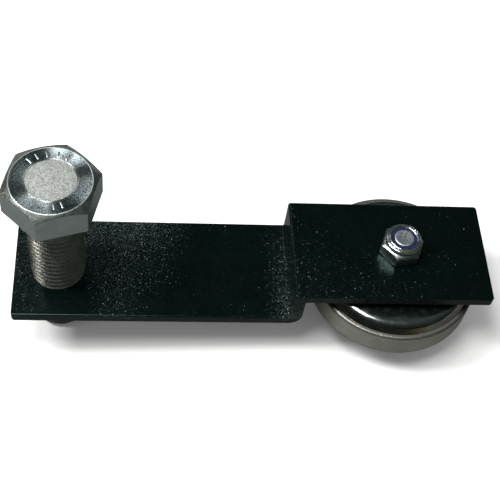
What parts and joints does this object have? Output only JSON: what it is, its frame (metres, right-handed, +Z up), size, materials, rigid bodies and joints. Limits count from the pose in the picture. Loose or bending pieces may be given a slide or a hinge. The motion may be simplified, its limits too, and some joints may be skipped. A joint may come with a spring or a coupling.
{
  "type": "cam follower",
  "caption": "Z-bent flat-bar arm with a ball-bearing roller on a lock-nutted bolt under its raised end and a large threaded hexagon pivot bolt standing in its lower end.",
  "frame": {"origin": "centre of the roller: on its axis, at the middle of its tread", "axes": "+Z up along the roller's axis towards the lock nut, +X from the pivot bolt towards the roller along the arm, +Y across the arm"},
  "size_m": [0.209, 0.076, 0.095],
  "materials": {
    "arm_coat": "gloss black powder coat with fine orange peel",
    "pivot_steel": "satin stainless steel, mottled on the head",
    "zinc": "bright plated",
    "nylon": "blue nylon",
    "spacer_steel": "turned",
    "tread_steel": "fine ground, light grey",
    "polished_steel": "mirror polished, lightly scratched",
    "bearing_steel": "ground bearing steel",
    "shield_steel": "pressed sheet, satin",
    "cage_steel": "pressed sheet",
    "spring_steel": "phosphated spring steel"
  },
  "bodies": {
    "arm": {"arm_plate": "arm_coat", "axle_bolt": "zinc", "axle_washer": "zinc", "spacer_upper": "spacer_steel", "spacer_lower": "spacer_steel", "bearing_inner_ring": "bearing_steel", "lock_nut": "zinc", "lock_nut_insert": "nylon"},
    "pivot_bolt": {"pivot_bolt": "pivot_steel"},
    "roller": {"roller_rim": "tread_steel", "side_plate_upper": "polished_steel", "side_plate_lower": "polished_steel", "roller_hub": "spacer_steel", "bearing_outer_ring": "bearing_steel", "bearing_shield_upper": "shield_steel", "bearing_shield_lower": "shield_steel", "retaining_ring": "spring_steel"},
    "ball_cage": {"bearing_balls": "bearing_steel", "cage_upper": "cage_steel", "cage_lower": "cage_steel", "cage_rivets": "cage_steel"}
  },
  "joints": [
    {"name": "roller_spin", "type": "hinge", "parent": "arm", "child": "roller", "pos_m": [0, 0, 0], "axis": [0, 0, 1], "continuous": true},
    {"name": "cage_spin", "type": "hinge", "parent": "arm", "child": "ball_cage", "pos_m": [0, 0, 0], "axis": [0, 0, 1], "continuous": true},
    {"name": "pivot_bolt_turn", "type": "hinge", "parent": "arm", "child": "pivot_bolt", "pos_m": [-0.15, 0, 0], "axis": [0, 0, 1], "continuous": true}
  ],
  "couplings": [
    {"joint": "cage_spin", "follows": "roller_spin", "ratio": 0.61905}
  ]
}
